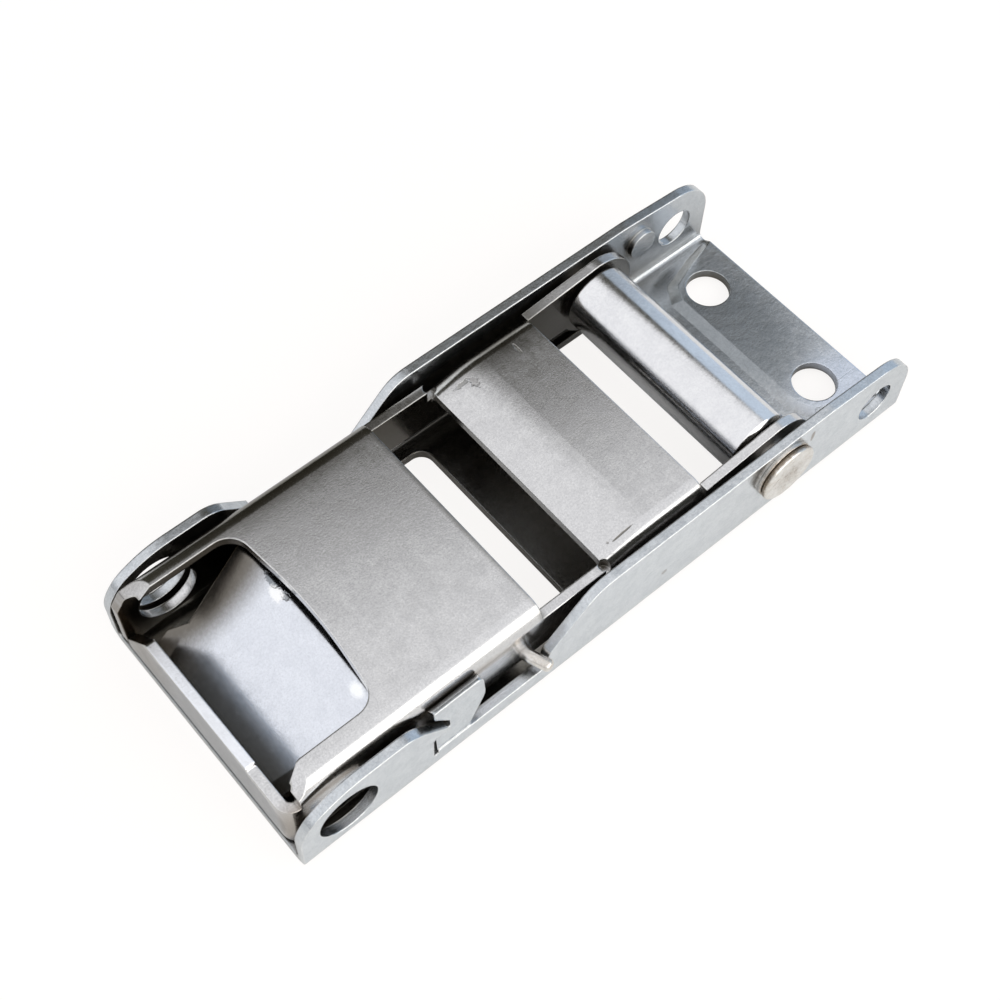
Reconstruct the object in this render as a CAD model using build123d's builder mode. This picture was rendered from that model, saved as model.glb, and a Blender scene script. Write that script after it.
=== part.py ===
"""Over-centre strap buckle pressed from sheet steel, closed, lying on its floor.

X runs along the buckle from the finger end to the plate end, Y across it, Z up.
Side and floor outlines are drawn from the finger end of the frame, x = 0, and its underside, z = 0.
"""

import os
from math import cos, radians, sin

from build123d import *

# Sheets and fits
sheet = 2.0
latch_sheet = 1.5
side_gap = 1.6
running_fit = 0.04
fixed_fit = 0.02

# Frame: a channel with two side walls
frame_width = 60.0
wall_length = 151.4
wall_height = 22.4
frame_bend = 3.2

# Frame, finger end: a raised ear and a low wall on each side, a leaning hook on the near side
ear_height = 20.6
ear_length = 0.2139 * wall_length
ear_hole_radius = 6.3
ear_hole_x = 10.3
ear_hole_z = 11.0
slit = 1.0
ear_undercut = 3.4
ear_tip = 13.1
hook_end = 0.273 * wall_length
hook_height = 19.9
hook_neck = 6.6
hook_lean = 5.0
hook_bevel = 1.5
low_wall = 7.0
step_gap = 1.3
step_run = 11.7
step_foot = 4.2

# Frame, plate end
end_slope = 24.0
end_drop = 1.8
end_round = 9.4
end_hole_radius = 4.5
end_hole_x = wall_length - 9.1
end_hole_z = 11.3
lug_radius = 3.4
lug_x = wall_length - 19.7
lug_z = 15.0
lug_clearance = 0.3
fixing_hole_radius = 4.75
fixing_hole_x = wall_length - 9.4
fixing_hole_spacing = 31.5
plateau_height = 1.0
plateau_start = wall_length - 18.0
plateau_slope = 2.2

# Frame floor openings
slot_start = 0.3972 * wall_length
slot_width = 10.0
slot_length = 48.0
slot_corner = 3.0
window_start = 0.5551 * wall_length
window_end = 0.7995 * wall_length
window_width = 51.0
window_corner = 3.0

# Pivot, roller and their pin
pivot_x = 0.7596 * wall_length
pivot_z = 15.0
pin_radius = 4.0
head_radius = 6.6
collar_thickness = 0.8
groove_width = 0.3
groove_depth = 0.6
head_thickness = 1.1
rivet_radius = 4.8
rivet_rim = 0.5
roller_radius = 7.35
roller_end_gap = 0.6
roller_chamfer = 0.8

# Handle: a lever that nests in the frame
cover_top = 21.9
cover_end = 0.3778 * wall_length
handle_bend = 3.75
handle_start = 0.2
handle_floor_gap = 1.0
handle_hole_radius = 6.2
handle_hole_x = 10.4
handle_hole_z = 11.4
finger_end = 24.5
finger_bulge = 2.1
finger_sweep = 100.0
strip_width = 4.4
strip_start = 7.2
finger_corner = 4.5
rail_top = 18.9
handle_middle = 8.0
bridge_start = 0.4822 * wall_length
bridge_end = 0.6447 * wall_length
bridge_top = 20.4
bridge_crease = 8.3
bridge_drop = 1.9
crease_radius = 30.0
relief_radius = 1.35
arm_rise = 2.0
arm_bottom = 8.2
eye_radius = 9.3
eye_offset_x = 1.6
eye_offset_z = -2.0

# Handle end wall, folded across the finger end from the near side wall
end_wall_top = 16.8
end_wall_bar = 0.9
end_wall_bar_width = 30.0
end_wall_bend = 3.2
end_wall_tip = 6.0

# Latch plate and the pin that it swings on
latch_gap = 1.2
latch_low = 6.6
latch_ridge = 17.5
latch_ridge_offset = 0.7
latch_ridge_bend = 3.0
latch_side_gap = 1.3
latch_taper = 28.0
latch_notch = 5.2
latch_fold = 6.4
latch_fold_length = 7.1
latch_fold_skew = 1.75
latch_fold_rise = 12.0
latch_fold_root = 0.5
latch_pin_radius = 1.3
latch_pin_x = 0.3501 * wall_length
latch_pin_z = 11.0
latch_pin_overhang = 5.7
latch_pin_bend = 22.0
latch_head_radius = 2.2
latch_head = 0.7

frame_half = frame_width / 2
frame_inner = frame_half - sheet
handle_half = frame_inner - side_gap
handle_inner = handle_half - sheet

# Drawing planes: side looks at the near wall, cross looks along the buckle, floor looks down
start = (-wall_length / 2, 0, 0)
side = Plane(origin=start, x_dir=(1, 0, 0), z_dir=(0, -1, 0))
cross = Plane(origin=start, x_dir=(0, 1, 0), z_dir=(1, 0, 0))
floor = Plane(origin=start)


def outline(corners):
    """Fill the closed outline through rows of (x, y, corner radius)."""
    points = [(x, y) for x, y, radius in corners]
    with BuildLine() as edge_line:
        FilletPolyline(*points, radius=[radius for x, y, radius in corners], close=True)
    make_face(edge_line.edges())


def both_sides(corners):
    """Complete a half outline, given for y > 0 from low x to high x, with its mirror image."""
    return corners + [(x, -y, radius) for x, y, radius in reversed(corners)]


def folded_section(corners, bend):
    """Fill the section of a sheet whose outer face follows the corners with one bend radius."""
    with BuildLine() as edge_line:
        FilletPolyline(*corners, radius=bend)
        offset(amount=sheet, side=Side.RIGHT)
    make_face(edge_line.edges())


def wall_holes(x, z, radius, reach):
    """Cut one round hole through both side walls."""
    with BuildSketch(side.offset(-reach)) as hole:
        with Locations((x, z)):
            Circle(radius)
    extrude(hole.sketch, amount=2 * reach, mode=Mode.SUBTRACT)


# Frame outline seen from the side, without the hook
ear_edge = ear_length - ear_undercut
step_x = latch_pin_x + latch_pin_radius + step_gap
wall_side = [
    (0, 0, 0),
    (0, 0.63 * ear_height, 0.39 * ear_height),
    (0.11 * ear_length, 0.85 * ear_height, 0.39 * ear_height),
    (0.32 * ear_length, ear_height, 0.95 * ear_height),
    (0.77 * ear_length, ear_height, 0.33 * ear_height),
    (ear_length, ear_tip + 0.7, 0.5),
    (ear_length, ear_tip, 0.3),
    (ear_edge, ear_tip, 0.8),
    (ear_edge, low_wall - 1, 0),
    (ear_edge + slit, low_wall - 1, 0),
    (ear_edge + slit, low_wall, 0),
    (step_x, low_wall, 0.8),
    (step_x, low_wall + step_foot, 2),
    (step_x + step_run, wall_height, 9),
    (wall_length - end_slope, wall_height, end_slope),
    (wall_length, wall_height - end_drop, end_round),
    (wall_length, 0, 0),
]

# Hook outline, drawn in its own leaning plane; its foot sinks into the low wall
hook_start = ear_edge + slit
hook_foot = low_wall / 2
hook_side = [
    (hook_start, hook_foot, 0),
    (hook_start, ear_tip - slit, 1.2),
    (ear_length + slit, ear_tip - slit, 0.4),
    (ear_length + slit, ear_tip + slit, 0.6),
    (hook_start + 0.3, 0.9 * hook_height, 0.5),
    (hook_start + 0.3, hook_height, 0.5),
    (hook_end, hook_height, 1.2),
    (hook_end + 0.3, 0.72 * hook_height, 4),
    (hook_start + hook_neck + 1.2, 0.4 * hook_height, 2),
    (hook_start + hook_neck, hook_foot, 0),
]
lean = radians(hook_lean)
hook_tip = -frame_inner + (hook_height - hook_foot) * sin(lean)
hook_plane = Plane(
    origin=(start[0], -frame_half, hook_foot),
    x_dir=(1, 0, 0),
    z_dir=(0, -cos(lean), sin(lean)),
)

# Raised plateau in the floor, as half outlines at its foot and at its top
plateau_foot = [
    (plateau_start, 0.64 * frame_inner, 0),
    (plateau_start + 2.6, 0.785 * frame_inner, 0),
    (fixing_hole_x + 2.0, 0.88 * frame_inner, 0),
    (wall_length, 0.94 * frame_inner, 0),
]
plateau_crest = [
    (plateau_start + plateau_slope, 0.605 * frame_inner, 0),
    (plateau_start + plateau_slope + 2.0, 0.73 * frame_inner, 0),
    (fixing_hole_x + 2.4, 0.815 * frame_inner, 0),
    (wall_length, 0.885 * frame_inner, 0),
]
plateau_under = [(x + 0.6 * sheet, y - 0.6 * sheet, radius) for x, y, radius in plateau_foot]

with BuildPart() as frame:
    # Near half of the channel, trimmed to the side outline
    with BuildSketch(cross):
        folded_section([(0, 0), (-frame_half, 0), (-frame_half, wall_height)], frame_bend)
    extrude(amount=wall_length)
    with BuildSketch(side):
        outline(wall_side)
    extrude(amount=frame_half, mode=Mode.INTERSECT)
    mirror(about=Plane.XZ)
    # Hook beside the near ear, leaning in towards the handle
    with BuildSketch(hook_plane):
        outline([(x, z - hook_foot, radius) for x, z, radius in hook_side])
    extrude(amount=-sheet)
    # Bevel along the hook's upper edge, facing the handle
    with BuildSketch(cross.offset(hook_start)):
        outline([
            (hook_tip - hook_bevel - 1, hook_height + 1, 0),
            (hook_tip + 1, hook_height + 1, 0),
            (hook_tip + 1, hook_height - hook_bevel - 1, 0),
        ])
    extrude(amount=2 * (hook_end - hook_start), mode=Mode.SUBTRACT)
    # Strap slot and window in the floor
    with BuildSketch(floor):
        with Locations((slot_start + slot_width / 2, 0)):
            RectangleRounded(slot_width, slot_length, slot_corner)
        with Locations(((window_start + window_end) / 2, 0)):
            RectangleRounded(window_end - window_start, window_width, window_corner)
    extrude(amount=sheet, mode=Mode.SUBTRACT)
    # Plateau pressed up from below, with its pocket on the underside
    with BuildSketch(floor.offset(sheet)):
        outline(both_sides(plateau_foot))
    with BuildSketch(floor.offset(sheet + plateau_height)):
        outline(both_sides(plateau_crest))
    loft()
    with BuildSketch(floor):
        outline(both_sides(plateau_under))
    extrude(amount=plateau_height, mode=Mode.SUBTRACT)
    # Fixing holes through the plateau
    with BuildSketch(floor):
        with Locations((fixing_hole_x, 0)):
            with GridLocations(0, fixing_hole_spacing, 1, 2):
                Circle(fixing_hole_radius)
    extrude(amount=sheet + 2 * plateau_height, mode=Mode.SUBTRACT)
    # Half-sheared lug: a recess outside and a disc inside the far wall
    lug_height = side_gap - lug_clearance
    with BuildSketch(side.offset(-frame_inner)):
        with Locations((lug_x, lug_z)):
            Circle(lug_radius)
    extrude(amount=lug_height)
    with BuildSketch(side.offset(-frame_half)):
        with Locations((lug_x, lug_z)):
            Circle(lug_radius - 0.1)
    extrude(amount=lug_height, mode=Mode.SUBTRACT)
    # Holes in the side walls
    wall_holes(ear_hole_x, ear_hole_z, ear_hole_radius, frame_half)
    wall_holes(end_hole_x, end_hole_z, end_hole_radius, frame_half)
    wall_holes(pivot_x, pivot_z, pin_radius + fixed_fit, frame_half)

# Handle side wall outline below its bends
shoulder = cover_top - handle_bend
bridge_shoulder = bridge_top - handle_bend
handle_floor = sheet + handle_floor_gap
eye_x = pivot_x + eye_offset_x
eye_z = pivot_z + eye_offset_z
handle_side = [
    (handle_start, handle_floor, 1),
    (handle_start, shoulder, 0),
    (cover_end, shoulder, 0),
    (cover_end, rail_top, 0),
    (bridge_start, rail_top, 0),
    (bridge_start, bridge_shoulder - bridge_drop, 0),
    (bridge_start + bridge_crease, bridge_shoulder, 0),
    (bridge_end, bridge_shoulder, 0),
    (bridge_end, eye_z + eye_radius - arm_rise, 0),
    (eye_x, eye_z + eye_radius, 0),
    (eye_x, arm_bottom, 0),
    (latch_pin_x - 8, handle_middle, 6),
]

# Bridge across the handle, its edge towards the finger end turned down
bridge_skin = [
    (bridge_start, bridge_top - bridge_drop, 0),
    (bridge_start + bridge_crease, bridge_top, crease_radius),
    (bridge_end, bridge_top, 0),
    (bridge_end, bridge_shoulder - 2 * sheet, 0),
    (bridge_start, bridge_shoulder - 2 * sheet, 0),
]
bridge_hollow = [
    (bridge_start - sheet, bridge_top - sheet - bridge_drop * (1 + sheet / bridge_crease), 0),
    (bridge_start + bridge_crease, bridge_top - sheet, crease_radius - sheet),
    (bridge_end + sheet, bridge_top - sheet, 0),
    (bridge_end + sheet, 0, 0),
    (bridge_start - sheet, 0, 0),
]


def hollow_bend(part, half_width, radius):
    """Round the long upper edges of a crosswise block at both half widths."""
    long_edges = [
        edge
        for edge in part.edges()
        if abs(abs(edge.center().Y) - half_width) < 0.01 and edge.center().Z > bridge_shoulder
        and edge.length > 0.2 and abs(edge.tangent_at(0.5).X) > 0.5
    ]
    fillet(long_edges, radius)


with BuildPart() as bridge_space:
    with BuildSketch(side):
        outline(bridge_hollow)
    extrude(amount=handle_inner, both=True)
    hollow_bend(bridge_space, handle_inner, handle_bend - sheet)

with BuildPart() as bridge:
    with BuildSketch(side):
        outline(bridge_skin)
    extrude(amount=handle_half, both=True)
    hollow_bend(bridge, handle_half, handle_bend)
    add(bridge_space.part, mode=Mode.SUBTRACT)

# End wall seen along the buckle, from the near side wall to its free tip
end_wall_free = handle_inner - 0.4
end_wall_face = [
    (-handle_half, handle_floor, 0),
    (-handle_half, end_wall_top, 0),
    (-end_wall_bar_width / 2, end_wall_top, 0.4),
    (-end_wall_bar_width / 2, end_wall_top + end_wall_bar, 0.4),
    (end_wall_bar_width / 2, end_wall_top + end_wall_bar, 0.6),
    (end_wall_free, end_wall_tip, 1),
    (end_wall_free, handle_floor, 1),
]
bend_run = handle_start + end_wall_bend

with BuildPart() as end_wall:
    with BuildSketch(floor):
        corner_path = [
            (handle_start, end_wall_free),
            (handle_start, -handle_half),
            (bend_run + 0.5, -handle_half),
        ]
        with BuildLine():
            FilletPolyline(*corner_path, radius=end_wall_bend)
            offset(amount=sheet, side=Side.LEFT)
        make_face()
    extrude(amount=cover_top)
    with BuildSketch(cross):
        outline(end_wall_face)
    extrude(amount=2 * bend_run, mode=Mode.INTERSECT)

# Finger cut-out seen from above, its edge swept outwards and flaring at its near corner
finger_half = handle_half - strip_width
finger_cut = [
    (-1, finger_half, 0),
    (finger_end, finger_half, finger_corner),
    (finger_end + finger_bulge, 0, finger_sweep),
    (finger_end - 0.4, -0.943 * finger_half, finger_corner),
    (strip_start, -0.943 * finger_half, 2),
    (-1, -1.15 * finger_half, 0),
]
strip_end = [
    (-1, shoulder - 2.2, 0),
    (handle_start, shoulder - 2.2, 0),
    (0.36 * strip_start, cover_top - 2.6, 2.5),
    (0.6 * strip_start, cover_top - 1.9, 2.5),
    (strip_start, cover_top + 0.3, 0),
    (-1, cover_top + 0.3, 0),
]

with BuildPart() as handle:
    # Near half: cover with its bend, then the side wall and its eye
    with BuildSketch(cross.offset(handle_start)):
        folded_section([(-handle_half, shoulder - 1), (-handle_half, cover_top), (0, cover_top)], handle_bend)
    extrude(amount=cover_end - handle_start)
    with BuildSketch(side.offset(handle_inner)):
        outline(handle_side)
        with Locations((eye_x, eye_z)):
            Circle(eye_radius)
    extrude(amount=sheet)
    # Sloping end of the strip beside the finger cut-out
    with BuildSketch(side):
        outline(strip_end)
    extrude(amount=handle_half, mode=Mode.SUBTRACT)
    mirror(about=Plane.XZ)
    # Finger cut-out, open at the end
    with BuildSketch(floor.offset(shoulder - 1)):
        outline(finger_cut)
    extrude(amount=2 * handle_bend, mode=Mode.SUBTRACT)
    # Near side wall stops where the end wall bends round
    with BuildSketch(floor):
        with Locations((bend_run / 2 - 1, -handle_half)):
            Rectangle(bend_run + 2, 4 * sheet)
    extrude(amount=cover_top, mode=Mode.SUBTRACT)
    add(end_wall.part)
    add(bridge.part)
    # Round reliefs where the turned-down edge of the bridge meets the side walls
    with BuildSketch(floor.offset(shoulder - 2)):
        relief_y = handle_inner + 0.4 * sheet
        with Locations((bridge_start, relief_y), (bridge_start, -relief_y)):
            Circle(relief_radius)
    extrude(amount=2 * handle_bend, mode=Mode.SUBTRACT)
    # Hole in the far side wall, beside the far ear's
    with BuildSketch(side.offset(-handle_half)):
        with Locations((handle_hole_x, handle_hole_z)):
            Circle(handle_hole_radius)
    extrude(amount=sheet, mode=Mode.SUBTRACT)
    wall_holes(latch_pin_x, latch_pin_z, latch_pin_radius + fixed_fit, handle_half)
    wall_holes(pivot_x, pivot_z, pin_radius + running_fit, handle_half)

# Latch plate seen from the side: a slope up to a ridge, a slope down, and an eye rolled round its pin
latch_start = handle_start + sheet + latch_gap
latch_half = handle_inner - latch_side_gap
latch_bore = latch_pin_radius + running_fit
latch_roll = latch_bore + latch_sheet
latch_ridge_x = finger_end + latch_ridge_offset
latch_path = [
    (latch_start, latch_low),
    (latch_ridge_x, latch_ridge),
    (latch_pin_x - 0.9 * latch_roll, latch_pin_z),
]
# Latch plate seen from above, as a half outline with its taper
latch_half_plan = [
    (latch_start, latch_half - latch_notch - latch_fold_skew, 0),
    (latch_start + latch_fold_length, latch_half - latch_notch, 0),
    (latch_start + latch_taper, latch_half, 3),
    (latch_pin_x + latch_roll + 1, latch_half, 0),
]
# Corner of the plate folded up along a line just inside the edge between its first two plan points
latch_slope = (latch_ridge - latch_low) / (latch_ridge_x - latch_start)
fold_from = Vector(latch_start, latch_half - latch_notch - latch_fold_skew, latch_low)
fold_to = Vector(
    latch_start + latch_fold_length,
    latch_half - latch_notch,
    latch_low + latch_slope * latch_fold_length,
)
fold_direction = (fold_to - fold_from).normalized()
plate_normal = Vector(-latch_slope, 0, 1).normalized()
fold_outward = plate_normal.cross(fold_direction)
fold_angle = radians(latch_fold_rise)
fold_plane = Plane(
    origin=Vector(*start) + fold_from - fold_outward * latch_fold_root,
    x_dir=fold_direction,
    z_dir=plate_normal * cos(fold_angle) - fold_outward * sin(fold_angle),
)
fold_run = (fold_to - fold_from).length
fold_corners = [
    (0.03 * fold_run, 0, 0),
    (0.93 * fold_run, 0, 0),
    (0.93 * fold_run, latch_fold_root, 0),
    (0.53 * fold_run, latch_fold_root + 0.41 * latch_fold, 0.8),
    (0.15 * fold_run, latch_fold_root + 0.43 * latch_fold, 0.4),
    (0.03 * fold_run, latch_fold_root + 0.3 * latch_fold, 0),
]

with BuildPart() as latch_plate:
    with BuildSketch(side):
        with BuildLine():
            FilletPolyline(*latch_path, radius=latch_ridge_bend)
            offset(amount=latch_sheet, side=Side.RIGHT)
        make_face()
        with Locations((latch_pin_x, latch_pin_z)):
            Circle(latch_roll)
            Circle(latch_bore, mode=Mode.SUBTRACT)
    extrude(amount=latch_half, both=True)
    with BuildSketch(floor):
        outline(both_sides(latch_half_plan))
    extrude(amount=cover_top, mode=Mode.INTERSECT)
    with BuildSketch(fold_plane):
        outline(fold_corners)
    extrude(amount=-latch_sheet)
    mirror(about=Plane.XZ)

# Pins and roller, turned about axes along Y
pivot_plane = Plane(origin=(start[0] + pivot_x, 0, pivot_z))
latch_pin_plane = Plane(origin=(start[0] + latch_pin_x, 0, latch_pin_z))
collar_end = frame_half + fixed_fit + collar_thickness
groove_end = collar_end + groove_width
head_end = groove_end + head_thickness
seat = frame_half + fixed_fit
# Half profile of the pin from its near head to its domed far end, which stands out as far
pin_profile = [
    (0, -head_end, 0),
    (head_radius, -head_end, 0.6),
    (head_radius, -groove_end, 0.2),
    (head_radius - groove_depth, -groove_end, 0),
    (head_radius - groove_depth, -collar_end, 0),
    (head_radius, -collar_end, 0.3),
    (head_radius, -seat, 0),
    (pin_radius, -seat, 0),
    (pin_radius, seat, 0),
    (rivet_radius, seat, 0),
    (rivet_radius, seat + rivet_rim, 0.3),
    (0.45 * rivet_radius, head_end, 0.6),
    (0, head_end, 0),
]

with BuildPart() as pivot_pin:
    with BuildSketch(pivot_plane):
        outline(pin_profile)
    revolve(axis=Axis(pivot_plane.origin, (0, 1, 0)))

with BuildPart() as roller:
    with BuildSketch(side.offset(roller_end_gap - handle_inner)):
        with Locations((pivot_x, pivot_z)):
            Circle(roller_radius)
            Circle(pin_radius + running_fit, mode=Mode.SUBTRACT)
    extrude(amount=2 * (handle_inner - roller_end_gap))
    rims = roller.edges().filter_by(GeomType.CIRCLE).filter_by(lambda edge: edge.radius > pin_radius + 1)
    chamfer(rims, roller_chamfer)

# Latch pin: a straight shank with a head, its near end bent towards the plate end
bend_offset = 0.4
bend_start = handle_half + bend_offset
bend_reach = latch_pin_overhang - bend_offset
far_face = handle_half + fixed_fit
with BuildPart() as latch_pin:
    with BuildSketch(latch_pin_plane):
        outline([
            (0, -bend_start, 0),
            (latch_pin_radius, -bend_start, 0),
            (latch_pin_radius, far_face, 0),
            (latch_head_radius, far_face, 0),
            (latch_head_radius, far_face + latch_head, 0.3),
            (0, far_face + latch_head, 0),
        ])
    revolve(axis=Axis(latch_pin_plane.origin, (0, 1, 0)))
    with BuildLine(latch_pin_plane) as bent_end:
        curve = JernArc(start=(0, -bend_start), tangent=(0, -1), radius=2 * latch_pin_radius, arc_size=latch_pin_bend)
        Line(curve @ 1, curve @ 1 + (curve % 1) * (bend_reach - 0.6 * latch_pin_radius))
    with BuildSketch(Plane(origin=bent_end.line @ 0, z_dir=bent_end.line % 0)):
        Circle(latch_pin_radius)
    sweep()
    tip = latch_pin.edges().filter_by(GeomType.CIRCLE).sort_by(Axis.Y)[0]
    fillet(tip, 0.7 * latch_pin_radius)

frame.part.label = "frame"
handle.part.label = "handle"
latch_plate.part.label = "latch_plate"
latch_pin.part.label = "latch_pin"
roller.part.label = "roller"
pivot_pin.part.label = "pivot_pin"

os.makedirs("parts", exist_ok=True)
for piece in (frame, handle, latch_plate, latch_pin, roller, pivot_pin):
    export_step(piece.part, f"parts/{piece.part.label}.step")
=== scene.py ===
"""Finishes, floor, lights and camera for a closed over-centre strap buckle of pressed, zinc plated steel.

Lengths are metres. Object coordinates are the buckle's own: X along it towards the plate end, Y across, Z up.
"""

import math
from typing import NamedTuple

import bpy
from bpy.props import FloatProperty, FloatVectorProperty, PointerProperty
from mathutils import Matrix, Vector


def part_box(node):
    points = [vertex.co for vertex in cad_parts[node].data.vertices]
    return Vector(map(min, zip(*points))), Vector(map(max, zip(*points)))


bl_info = {
    "name": "Strap buckle",
    "version": (1, 0, 0),
    "blender": (4, 5, 0),
    "location": "3D View > Sidebar > Buckle",
    "description": "Dresses the parts of an over-centre strap buckle and sets its studio",
    "category": "Object",
}

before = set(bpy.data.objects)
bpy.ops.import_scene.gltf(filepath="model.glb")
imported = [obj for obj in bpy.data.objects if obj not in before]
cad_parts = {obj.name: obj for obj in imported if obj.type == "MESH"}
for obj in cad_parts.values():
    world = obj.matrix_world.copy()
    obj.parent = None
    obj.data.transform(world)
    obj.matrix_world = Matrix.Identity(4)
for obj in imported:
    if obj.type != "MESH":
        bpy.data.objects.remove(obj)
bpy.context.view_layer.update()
LOW_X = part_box("frame")[0].x


def metres(x, y, z):
    """Three lengths in millimetres, as metres."""
    return (x / 1000, y / 1000, z / 1000)


def place(x, y, z):
    """A point given in millimetres from the frame's finger end."""
    return (LOW_X + x / 1000, y / 1000, z / 1000)


class Mark(NamedTuple):
    """One mark on a surface, with its place and reach in millimetres."""

    at: tuple
    reach: tuple
    tint: tuple
    strength: float
    depth: float
    ragged: float
    softness: float


class Tree:
    """Short calls for building a node tree."""

    def __init__(self, tree):
        self.tree = tree

    def node(self, kind, values=None, **attributes):
        made = self.tree.nodes.new(kind)
        for key, value in attributes.items():
            setattr(made, key, value)
        for key, value in (values or {}).items():
            self.feed(made.inputs[key], value)
        return made

    def feed(self, socket, value):
        if isinstance(value, bpy.types.NodeSocket):
            self.tree.links.new(value, socket)
        else:
            socket.default_value = value

    def math(self, operation, first, second=0.0, clamp=False):
        made = self.node("ShaderNodeMath", {0: first, 1: second}, operation=operation, use_clamp=clamp)
        return made.outputs[0]

    def product(self, first, second):
        return self.math("MULTIPLY", first, second)

    def shifted(self, vector, axis, amount):
        """A vector moved along one axis, for a pattern of its own."""
        offset = self.node("ShaderNodeCombineXYZ", {axis: amount}).outputs[0]
        return self.vector("ADD", vector, offset).outputs[0]

    def vector(self, operation, first, second=(0, 0, 0)):
        return self.node("ShaderNodeVectorMath", {0: first, 1: second}, operation=operation)

    def ramp(self, value, low, high, start=0.0, end=1.0, smooth=True):
        kind = "SMOOTHSTEP" if smooth else "LINEAR"
        values = {"Value": value, "From Min": low, "From Max": high, "To Min": start, "To Max": end}
        return self.node("ShaderNodeMapRange", values, interpolation_type=kind).outputs[0]

    def mix(self, factor, first, second):
        made = self.node("ShaderNodeMix", data_type="RGBA", blend_type="MIX")
        self.feed(made.inputs[0], factor)
        self.feed(made.inputs[6], first)
        self.feed(made.inputs[7], second)
        return made.outputs[2]

    def noise(self, vector, scale, detail, rough, distortion=0.0):
        values = {"Vector": vector, "Scale": scale, "Detail": detail}
        values.update({"Roughness": rough, "Distortion": distortion})
        return self.node("ShaderNodeTexNoise", values).outputs["Fac"]

    def stretched(self, vector, stretch, turn):
        values = {"Vector": vector, "Rotation": turn, "Scale": stretch}
        return self.node("ShaderNodeMapping", values).outputs[0]


def group(name, inputs, outputs):
    """A node group with named sockets, and its tree and the nodes at its two ends."""
    made = bpy.data.node_groups.new(name, "ShaderNodeTree")
    for socket, kind, value in inputs:
        item = made.interface.new_socket(name=socket, in_out="INPUT", socket_type=kind)
        if value is not None:
            item.default_value = value
    for socket, kind in outputs:
        made.interface.new_socket(name=socket, in_out="OUTPUT", socket_type=kind)
    tree = Tree(made)
    return made, tree, tree.node("NodeGroupInput").outputs, tree.node("NodeGroupOutput").inputs


FLOAT, VECTOR = "NodeSocketFloat", "NodeSocketVector"

# Frequencies of the finer zinc patterns against the broad patches
CELLS_TO_PATCHES = 4.5
SPECKS_TO_PATCHES = 11.0
# Noise levels between which each pattern starts and is full
PATCH_LEVELS = (0.34, 0.66)
CELL_LEVELS = (0.36, 0.64)
SPECK_LEVELS = (0.60, 0.74)
SPECKLE_LEVELS = (0.32, 0.68)
STREAK_LEVELS = (0.3, 0.7)
# How far the streaks are drawn out: along X on sheet, along Y on the handle, and less on the roller and pins
ALONG_GRAIN = (0.12, 1.0, 1.0)
ACROSS_GRAIN = (1.0, 0.12, 1.0)
AXLE_GRAIN = (1.0, 0.3, 1.0)
# Agreement of the rounded and the true normal where an edge starts and where it is fully rubbed
EDGE_AGREEMENT = (0.985, 0.80)
# Patches per metre where rubbing and dirt come and go, their levels, and the least dirt between them
RUBBED_PATCHES, RUBBED_LEVELS = 700.0, (0.35, 0.6)
DIRT_PATCHES, DIRT_LEVELS, LEAST_DIRT = 420.0, (0.3, 0.7), 0.55
# Handling marks: stretch per metre and turn in radians of their two noises, and their levels
FIRST_MARKS, FIRST_LEVELS = ((40, 2600, 2600), (0.3, 0.2, 0.5)), (0.72, 0.80)
SECOND_MARKS, SECOND_LEVELS = ((2400, 60, 2400), (0.1, 0.6, 0.9)), (0.73, 0.81)
# Dings per metre, and how far from its middle one starts and is full, as shares of their spacing
DING_CELLS, DING_EDGE = 110.0, (0.10, 0.03)
# Share of open sky where the dirt and painted shade in a corner start and where they are full
CORNER_SKY = (0.72, 0.22)
# Softening of the inside's limit, in metres
INSIDE_FADE = 0.001
# How squarely a wall faces inwards, and how far out it stands in metres, where it darkens with painted shade
FACING_LEVELS = (0.6, 0.9)
WALL_BAND = (0.018, 0.021)
# Grain per metre of a mark's rim, how far it eats into the rim, and the middle of its noise
RIM_GRAIN, RIM_GAIN, NOISE_MIDDLE = 1500.0, 4.0, 0.5


def mottle_group():
    """Cloudy plating: broad patches, finer cells inside them, and dark specks."""
    made, t, given, out = group(
        "Zinc mottle",
        [("Vector", VECTOR, None), ("Scale", FLOAT, 300.0), ("Seed", FLOAT, 0.0)],
        [("Patches", FLOAT), ("Cells", FLOAT), ("Specks", FLOAT)],
    )
    moved = t.shifted(given["Vector"], 0, given["Seed"])
    broad = t.noise(moved, given["Scale"], detail=3.0, rough=0.5, distortion=0.4)
    t.feed(out["Patches"], t.ramp(broad, *PATCH_LEVELS))
    cells = t.noise(moved, t.product(given["Scale"], CELLS_TO_PATCHES), detail=3.0, rough=0.6)
    t.feed(out["Cells"], t.ramp(cells, *CELL_LEVELS))
    specks = t.noise(moved, t.product(given["Scale"], SPECKS_TO_PATCHES), detail=2.0, rough=0.7)
    t.feed(out["Specks"], t.ramp(specks, *SPECK_LEVELS))
    return made


def speckle_group():
    """The fine even speckle of rolled sheet, and the faint streaks along its rolling."""
    made, t, given, out = group(
        "Sheet speckle",
        [("Vector", VECTOR, None), ("Scale", FLOAT, 2600.0), ("Stretch", VECTOR, ALONG_GRAIN)],
        [("Speckle", FLOAT), ("Streaks", FLOAT)],
    )
    points = t.noise(given["Vector"], given["Scale"], detail=3.0, rough=0.75)
    t.feed(out["Speckle"], t.ramp(points, *SPECKLE_LEVELS, smooth=False))
    along = t.vector("MULTIPLY", given["Vector"], given["Stretch"]).outputs[0]
    streaks = t.noise(along, given["Scale"], detail=4.0, rough=0.65, distortion=0.2)
    t.feed(out["Streaks"], t.ramp(streaks, *STREAK_LEVELS, smooth=False))
    return made


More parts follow.
